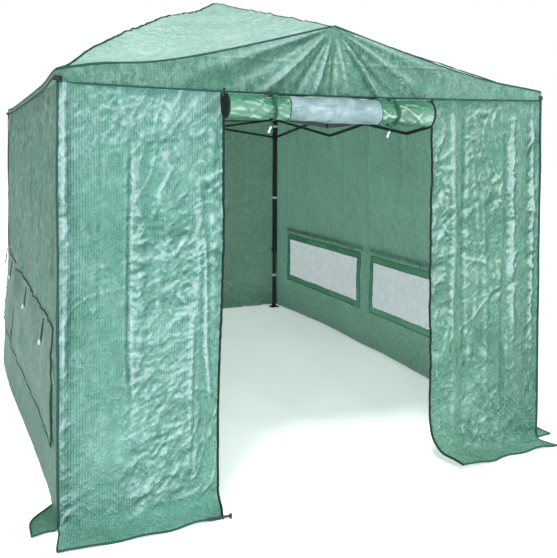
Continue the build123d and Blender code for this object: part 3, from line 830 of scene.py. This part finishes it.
def roof_body(region):
    """CAD body for each part of the roof, and the squash argument that goes with it."""
    if region == "crown":
        return "hub", (ALONG_Y, (0, 0, 0), 0.55)
    edge, part = region.split("_")
    sign = -1 if edge in ("left", "front") else 1
    if edge in ("left", "right"):
        slope = Vector((OUT_X, 0, EAVE - PEAK)).normalized()
        bar = {"1": "a1", "2": "a2", "3": "b3"}[part]
        return f"{edge}_bar_{bar}", ((sign * slope.x, 0, slope.z), (sign * OUT_X, 0, EAVE), 0.1)
    rise = Vector((0, OUT_Y, PEAK - GABLE)).normalized()
    bar = {"left": "b1", "right": "a2"}[part]
    return f"{edge}_bar_{bar}", ((0, -sign * rise.y, rise.z), (0, sign * OUT_Y, GABLE), 0.05)


def region_of(x, y):
    """Name of the roof part that holds each point."""
    u, v = np.abs(x) / OUT_X, np.abs(y) / OUT_Y
    half = np.where(x < 0, "left", "right")
    third = np.where(y > MODULE_Y, "_1", np.where(y < -MODULE_Y, "_3", "_2"))
    end = np.where(y < 0, "front_", "back_")
    out = np.where(u >= v, np.char.add(half, third), np.char.add(end, half))
    return np.where((u < CROWN) & (v < CROWN), "crown", out)


def build_roof():
    u = np.arange(-N_ROOF, N_ROOF + 1) / N_ROOF
    over = np.array([0.004, 0.014, VALANCE])
    xs, ys = np.concatenate([-OUT_X - over[::-1], u * OUT_X, OUT_X + over]), u * OUT_Y
    x, y = np.meshgrid(xs, ys)
    cols = len(xs)
    verts = roof_points(x, y).reshape(-1, 3)
    uv = np.stack([y, x * math.hypot(OUT_X, PEAK - EAVE) / OUT_X], -1).reshape(-1, 2)
    tris = []
    for j in range(len(ys) - 1):
        a = j * cols + np.arange(cols - 1)
        b, c, d = a + 1, a + cols + 1, a + cols
        rising = (0.5 * (xs[1:] + xs[:-1]) * (0.5 * (ys[j] + ys[j + 1])) > 0)[:, None]
        tris.append(np.where(rising, np.stack([a, b, c], 1), np.stack([a, b, d], 1)))
        tris.append(np.where(rising, np.stack([a, c, d], 1), np.stack([b, c, d], 1)))
    tris = np.concatenate(tris)
    flat = np.stack([x, y], -1).reshape(-1, 2)[tris].mean(1)
    fn = np.cross(verts[tris[:, 1]] - verts[tris[:, 0]], verts[tris[:, 2]] - verts[tris[:, 0]])
    normals = np.zeros_like(verts)
    for k in range(3):
        np.add.at(normals, tris[:, k], fn)
    normals /= np.linalg.norm(normals, axis=1)[:, None]
    regions = region_of(flat[:, 0], flat[:, 1])
    regions = np.where(np.abs(flat[:, 0]) > OUT_X + 0.002, np.char.add("valance_", regions), regions)
    inside = np.clip(x, -OUT_X, OUT_X)
    # Stress whitening and painted light of the roof's wrinkles: painted highlights on ridges and lit facets, painted
    # shade in grooves.
    folds = crease_whitening_and_painted_light(roof_z(inside, y) - roof_z(inside, y, False)).ravel()
    made = {}
    for region in sorted(set(regions)):
        v, f, uvs, ns, cs = used_only(verts, tris[regions == region], uv, normals, folds)
        hanging = region.startswith("valance_")
        # The valances take the darker left side film: painted shade under the eave.
        name, mat = (region, SIDE_LEFT_PAINTED_SHADE) if hanging else (f"roof_{region}", ROOF_PAINTED_SUNLIT)
        made[region] = place(add_object(name, v, f, mat, uvs, ns, cs), *roof_body(region.replace("valance_", "")))
    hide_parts("roof_canopy")
    return made


def roof_line(name, x, y, radius, lift=0.002):
    """Piping along a line on the roof, split where the roof's parts meet."""
    p = roof_points(x, y)
    p[:, 2] += lift
    regions = region_of(x * 0.9999, y * 0.9998)
    cuts = [0] + [i for i in range(1, len(p)) if regions[i] != regions[i - 1]] + [len(p)]
    for k, (a, b) in enumerate(zip(cuts, cuts[1:])):
        if b - a > 1:
            place(tubes(f"{name}_{k + 1}", [p[a:min(b + 1, len(p))]], radius, BINDING), *roof_body(regions[a]))


ROOF_PARTS = build_roof()
out = np.linspace(0.0, 1.0, 90)
ys = np.linspace(-1, 1, 150) * OUT_Y * 0.999
for sx, side in ((-1, "left"), (1, "right")):
    for tag, _, sy in (c for c in CORNERS if c[1] == sx):
        roof_line(f"hip_piping_{tag}", sx * out * OUT_X * 1.0001, sy * out * OUT_Y * 0.9999, 0.0056)
        roof_line(f"gable_piping_{tag}", sx * out * OUT_X * 0.9995, np.full_like(out, sy * OUT_Y), 0.0058)
    roof_line(f"eave_piping_{side}", np.full_like(ys, sx * OUT_X * 1.0002), ys, 0.0055)
    roof_line(f"valance_hem_{side}", np.full_like(ys, sx * (OUT_X + VALANCE)), ys, 0.004)
for sy, tag in ((-1, "front"), (1, "back")):
    roof_line(f"ridge_seam_{tag}", np.full_like(out, 1e-5), sy * out * OUT_Y, 0.0024, 0.001)


# folds that fan out from the gable's peak: direction from straight down and width, both in degrees, and size
FAN = ((-70, 3.0, 0.01), (-62, 4.0, -0.006), (-48, 3.0, 0.009), (-33, 3.5, -0.006), (-18, 3.0, 0.008),
       (-2, 3.0, -0.007), (12, 3.5, 0.007), (36, 2.2, 0.013), (44, 3.0, -0.008), (58, 3.5, 0.009), (71, 3.0, 0.007))


def gable_relief(x, z):
    """The fan of folds and a low seam, over soft creases."""
    down = np.maximum(GABLE - z, 0.0)
    r, ang = np.hypot(x, down), np.degrees(np.arctan2(x, down + 1e-6))
    fan = 0.0
    for k, (at, width, size) in enumerate(FAN):
        fan = fan + size * bump_at(ang, at, width) * (1 - smooth(0.35 + 0.1 * (k % 3), 1.1, r))
    seam = 0.004 * bump_at(z, 1.905 - 0.02 * np.cos(x), 0.006) * band(x, -0.75, 0.9, 0.1)
    fan = 2.3 * fan * smooth(0.03, 0.16, r) + seam
    return fan + 0.8 * creases(x, z, 83, 0.008, 0.011) + 0.008 * np.cos(np.clip(x / OUT_X, -1, 1) * np.pi / 2)


def gable_sag(x):
    """How far the gable's lower edge hangs between the corners."""
    return 0.016 * (1 - (x / OUT_X) ** 2)


GATHER_X = (ALONG_X, (0, 0, 0), KEEP_X)
for sy, tag in ((-1, "front"), (1, "back")):
    ss = lines_at([-OUT_X, 0, OUT_X], FRONT_STEP * 1.2)
    s, h = np.meshgrid(ss, np.linspace(0, 1, 40))
    top = roof_points(ss, np.full_like(ss, sy * OUT_Y))[:, 2][None, :]
    low = WALL_TOP - 0.004 - gable_sag(s)
    z = low + (top - low) * h
    off = gable_relief(s, z) * smooth(0, 0.05, 1 - np.abs(s) / OUT_X) * (0.35 + 0.65 * arch(h) ** 0.5)
    p = np.stack([s, np.full_like(s, sy * OUT_Y) + sy * (0.002 + off), z], -1)
    # Stress whitening and painted light of the gable's folds: painted highlights on facets lit from (-1, 0.5), painted
    # shade in grooves.
    crease = crease_whitening_and_painted_light(off, (-1.0, 0.5), 1.15)
    gable = grid_object(f"gable_{tag}", p, GABLE_FILM, np.stack([s, z], -1), None, sy > 0, crease)
    seam = tubes(f"gable_seam_{tag}", [p[0]], 0.0042, BINDING)
    for ob in (gable, seam):
        place(ob, f"post_{tag}", GATHER_X)


# ---- rolled-up door
ROLL_X = (DOOR_L - 0.01, 0.456)
ROLL_PANE = (-0.256, 0.184)
ROLL_STRAPS = (-0.328, 0.262)


def roll_radius(x):
    return 0.053 + 0.011 * (x - ROLL_X[0]) / (ROLL_X[1] - ROLL_X[0])


def roll_seam(x):
    """Height of the gable's lower seam, which the door hangs from."""
    return WALL_TOP - 0.012 - gable_sag(x)


def roll_centre(x):
    """Where the roll's middle line is: it hangs close under the seam."""
    return -OUT_Y - roll_radius(x) - 0.006, roll_seam(x) - roll_radius(x) - 0.002


def build_roll():
    turns = 7.3
    xs = lines_at([ROLL_X[0], *ROLL_PANE, ROLL_X[1]], 0.5 * STEP)
    phi = np.linspace(0, 2 * math.pi * turns, 400)
    x, a = np.meshgrid(xs, phi)
    share = a / phi[-1]
    big, (cy, cz) = roll_radius(x), roll_centre(x)
    squeeze = sum(bump_at(x, at, 0.035) for at in ROLL_STRAPS)
    loose = smooth(0.0, 0.06, x - ROLL_X[0]) * smooth(0.0, 0.06, ROLL_X[1] - x)
    near = sum(np.sign(x - at) * bump_at(x, at, 0.11) for at in ROLL_STRAPS)
    drawn = ridged(x / 0.2 + 0.22 * a, a * 0.9 + 1.5 * near, 125, 2) - 0.4
    lump = 0.003 * fbm(x / 0.14, a * 1.1, 120, 3) + 0.005 * drawn
    lump = lump + 0.0022 * facets(x / 2.2, a * 0.05 + 0.05 * near, 127, 0.03)
    r = 0.012 + (big - 0.013) * share
    r = r + (lump * (0.25 + 0.75 * share) - 0.005 * squeeze * share) * (0.35 + 0.65 * loose)
    ang = math.radians(-10) - phi[-1] + a
    p = np.stack([x, cy + r * np.cos(ang), cz + r * np.sin(ang)], -1)
    up = np.linspace(0, 1, 8)[1:, None, None]
    goal = np.stack([xs, np.full_like(xs, -OUT_Y - 0.002), roll_seam(xs)], -1)
    p = np.concatenate([p, p[-1][None] * (1 - up) + goal[None] * up], 0)
    steps = np.linalg.norm(np.diff(p[:, len(xs) // 2], axis=0), axis=1)
    length = np.concatenate([[0], np.cumsum(steps)])
    uv = np.stack(np.meshgrid(xs, length), -1)
    mid_x = 0.5 * (xs[1:] + xs[:-1])
    window_len = 2 * math.pi * 0.058 * 1.45
    outer = (length[:-1] > length[-1] - window_len)[:, None]
    pane = outer & ((mid_x > ROLL_PANE[0]) & (mid_x < ROLL_PANE[1]))[None, :]
    # Stress whitening and painted light of the roll's lumps: painted highlights on ridges and lit facets, painted shade
    # in grooves.
    crease = crease_whitening_and_painted_light(np.concatenate([lump, np.zeros((len(up), len(xs)))], 0))
    film_part = grid_object("rolled_door_film", p, DOOR_FILM, uv, ~pane, False, crease)
    pane_part = grid_object("rolled_door_window", p, PANE_ROLLED, uv, pane)
    edges = tubes("rolled_door_edges", [p[:, 0] + (-0.002, 0, 0), p[:, -1] + (0.002, 0, 0)], 0.0052, ZIP, 6)
    seen = p[np.argmax(outer[:, 0]):]
    rims = [seen[:, np.argmin(np.abs(xs - at))] for at in ROLL_PANE]
    rims = tubes("rolled_door_window_seams", rims, 0.0022, BINDING, 6)
    for ob in (film_part, pane_part, edges, rims):
        place(ob, "post_front", GATHER_X)
    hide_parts("rolled_door")


def toggle(name, at, axis, body, squash):
    """Small moulded toggle with a waist for its cord."""
    half = [(0.005, 0.003), (0.0058, 0.01), (0.0048, 0.0155), (0.0015, 0.017)]
    ob = lathe(name, [(r, -h) for r, h in half[::-1]] + [(0.0034, 0.0)] + half, TOGGLE, 14)
    put(ob, at, axis)
    place(ob, body, squash)


def roll_straps():
    for k, at in enumerate(ROLL_STRAPS):
        ang = np.linspace(math.radians(80), math.radians(-268), 60)
        r, (cy, cz) = roll_radius(at) + 0.0005, roll_centre(at)
        loop = np.stack([at + 0.004 * np.sin(ang * 2 + k), cy + r * np.cos(ang), cz + r * np.sin(ang)], 1)
        top = np.array([[at, -OUT_Y - 0.006, WALL_TOP - 0.02], [at, cy + 0.03, cz + r - 0.003]])
        strap = ribbon(f"roll_strap_{k + 1}", np.concatenate([top, loop]), ALONG_X, 0.013, BINDING)
        down = np.linspace(0, 1, 10)
        tail = np.stack([at + 0.006 * np.sin(down * 3 + k), cy + 0.01 + 0.012 * down, cz - r - 0.002 - 0.022 * down], 1)
        for ob in (strap, tubes(f"roll_strap_tail_{k + 1}", [tail], 0.0022, STRAP)):
            place(ob, "post_front", GATHER_X)
        toggle(f"roll_toggle_{k + 1}", tail[-1] + (0, 0, -0.012), (0.5, 0.2, 1), "post_front", GATHER_X)


build_roll()
roll_straps()


# ---- windows: borders, outer flaps, ties
def wall_patch(name, key, breaks_s, breaks_t, extra, mat, flip, uv_shift):
    """Patch on a wall. With four breaks each way it has a hole between the middle ones."""
    s, t = np.meshgrid(lines_at(breaks_s, STEP * 1.5), lines_at(breaks_t, STEP * 1.5))
    p = WALLS[key].flat_points(s, t, extra(s, t))
    mask = ~cells_in(s, t, *breaks_s[1:3], *breaks_t[1:3]) if len(breaks_s) == 4 else None
    ob = grid_object(name, p, mat, np.stack([s + uv_shift, -t], -1), mask, flip)
    return ob, p


def build_window(key, k):
    """Border round a window, stitched along both its edges."""
    wall, (s0, s1), (t0, t1) = WALLS[key], WIN_S[k], WIN_T
    across, down = (s0 - BORDER_W, s0, s1, s1 + BORDER_W), (t0 - BORDER_W, t0, t1, t1 + BORDER_W)
    name = f"{key}_window_border_{k + 1}"
    border, _ = wall_patch(name, key, across, down, lambda s, t: -0.0025, BORDER, not wall.flip, 0.3)
    loops = []
    for grow in (0.0, BORDER_W):
        a, b = lines_at([s0 - grow, s1 + grow], STEP), lines_at([t0 - grow, t1 + grow], STEP)
        ring_s = np.concatenate([a, np.full(len(b), a[-1]), a[::-1], np.full(len(b), a[0])])
        ring_t = np.concatenate([np.full(len(a), b[0]), b, np.full(len(a), b[-1]), b[::-1]])
        loops.append(wall.flat_points(ring_s, ring_t, -0.004))
    seam = tubes(f"{key}_window_seams_{k + 1}", loops, 0.0018, BINDING, 5)
    wall.hang(border, seam)


UP = np.array([0, 0, 1.0])
FLAP_TOP, FLAP_LOW = WALL_TOP - 0.77, WALL_TOP - 0.29
FLAP_S = ((0.13, 1.8), (1.88, 3.3))


def hung_flap(k, s0, s1):
    """Outer cover of a left window, let down."""
    def lift(s, t):
        hang = (t - FLAP_TOP) / (FLAP_LOW - FLAP_TOP)
        swell = 0.007 * np.sin(np.clip(hang, 0, 1) * 1.4)
        return 0.004 + swell + 0.003 * fbm(s / 0.12, t / 0.3, 140 + k, 2) * smooth(0, 0.3, hang)

    flap, p = wall_patch(f"left_flap_{k + 1}", "left", (s0, s1), (FLAP_TOP, FLAP_LOW), lift, SIDE, False, 0.7)
    rim = tubes(f"left_flap_binding_{k + 1}", [p[0], p[-1], p[:, 0], p[:, -1]], 0.0032, BINDING, 6)
    WALLS["left"].hang(flap, rim)


def rolled_flap(k, s0, s1):
    """Outer cover of a right window, rolled up above it."""
    wall, ss = WALLS["right"], lines_at([s0, s1], STEP)
    s, a = np.meshgrid(ss, np.linspace(0, 2 * math.pi * 3.2, 70))
    r = 0.005 + 0.013 * a / a[-1] + 0.0012 * fbm(s / 0.08, a, 150 + k, 2)
    base = wall.flat_points(ss, np.full_like(ss, FLAP_TOP + 0.022), 0.026)
    ang = math.radians(150) - a[-1] + a
    p = base[None] + r[..., None] * (np.cos(ang)[..., None] * wall.out + np.sin(ang)[..., None] * UP)
    roll = grid_object(f"right_flap_roll_{k + 1}", p, SIDE, np.stack([s, a * 0.02], -1))
    rim = tubes(f"right_flap_binding_{k + 1}", [p[:, 0], p[:, -1], p[-1]], 0.0028, BINDING, 6)
    wall.hang(roll, rim)


def flap_ties(key, k, s0, s1):
    """Two loops of cord with a toggle each. They hang on the left wall and hold the rolled flap on the right."""
    wall = WALLS[key]
    for n, part in enumerate((0.12, 0.58)):
        start = wall.flat_points(np.array([s0 + part * (s1 - s0)]), np.array([FLAP_TOP]), 0.022)[0]
        if key == "left":
            turn = np.linspace(0, 1, 26)
            swing = 0.02 * np.sin(turn * 2 * math.pi)
            loop = start + np.stack([swing * wall.along[0], swing * wall.along[1] + 0.01 * turn,
                                     -0.1 * np.sin(turn * math.pi)], 1)
            loop += wall.out * (0.012 * np.sin(turn * math.pi))[:, None]
            low_point = loop[13]
        else:
            turn = np.linspace(0, 2 * math.pi, 30)
            mid = start + wall.out * 0.01 - 0.03 * UP
            loop = mid + 0.033 * (np.cos(turn)[:, None] * wall.out + np.sin(turn)[:, None] * UP)
            low_point = mid - 0.045 * UP
        wall.hang(tubes(f"{key}_flap_tie_{k + 1}_{n + 1}", [loop], 0.0026, STRAP, 6))
        at = low_point + wall.out * 0.006
        toggle(f"{key}_flap_toggle_{k + 1}_{n + 1}", at, (0.1, 1, 0.25), wall.body, wall.squash)


for key, flap in (("left", hung_flap), ("right", rolled_flap)):
    for k, span in enumerate(FLAP_S):
        build_window(key, k)
        flap(k, *span)
        flap_ties(key, k, *span)


# ---- ties that hold the cover to the legs, ground peg
for tag, sx, sy in CORNERS:
    for k, (z, half) in enumerate(((0.3, 0.0155), (1.03, 0.018), (1.7, 0.018))):
        h, far = half + 0.0012, 0.04  # from the leg's middle to the tie, and to the cover's corner
        path = ((far, far), (h, h * 0.4), (h, -h), (-h, -h), (-h, h), (h * 0.4, h), (far, far - 0.002))
        pts = np.array([(sx * (LEG_X + a), sy * (LEG_Y + b), z + 0.001 * i) for i, (a, b) in enumerate(path)])
        fine = np.concatenate([np.linspace(p, q, 5)[:-1] for p, q in zip(pts, pts[1:])] + [pts[-1:]])
        place(ribbon(f"leg_tie_{tag}_{k + 1}", fine, (0, 0, 1), 0.022, TIE, 0.0012), f"leg_{tag}")

peg = lathe("ground_peg", [(0.002, -0.055), (0.0045, -0.045), (0.005, 0.03), (0.005, 0.038), (0.0105, 0.04),
                           (0.0105, 0.048), (0.004, 0.05)], MOULD, 18)
put(peg, (-0.585, -1.918, 0.0115), (1.0, -0.12, 0.0))
WALLS["front_left"].hang(peg)

# ---- frame materials
for name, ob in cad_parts.items():
    if ob.hide_render:
        continue
    if name.startswith("leg_button"):
        mat = RED
    elif name.startswith(("slider", "corner_bracket", "foot", "peak_hub")):
        mat = MOULD
    else:
        mat = METAL
    for k in range(max(1, len(ob.material_slots))):
        if len(ob.material_slots) <= k:
            ob.data.materials.append(mat)
        ob.material_slots[k].material = mat
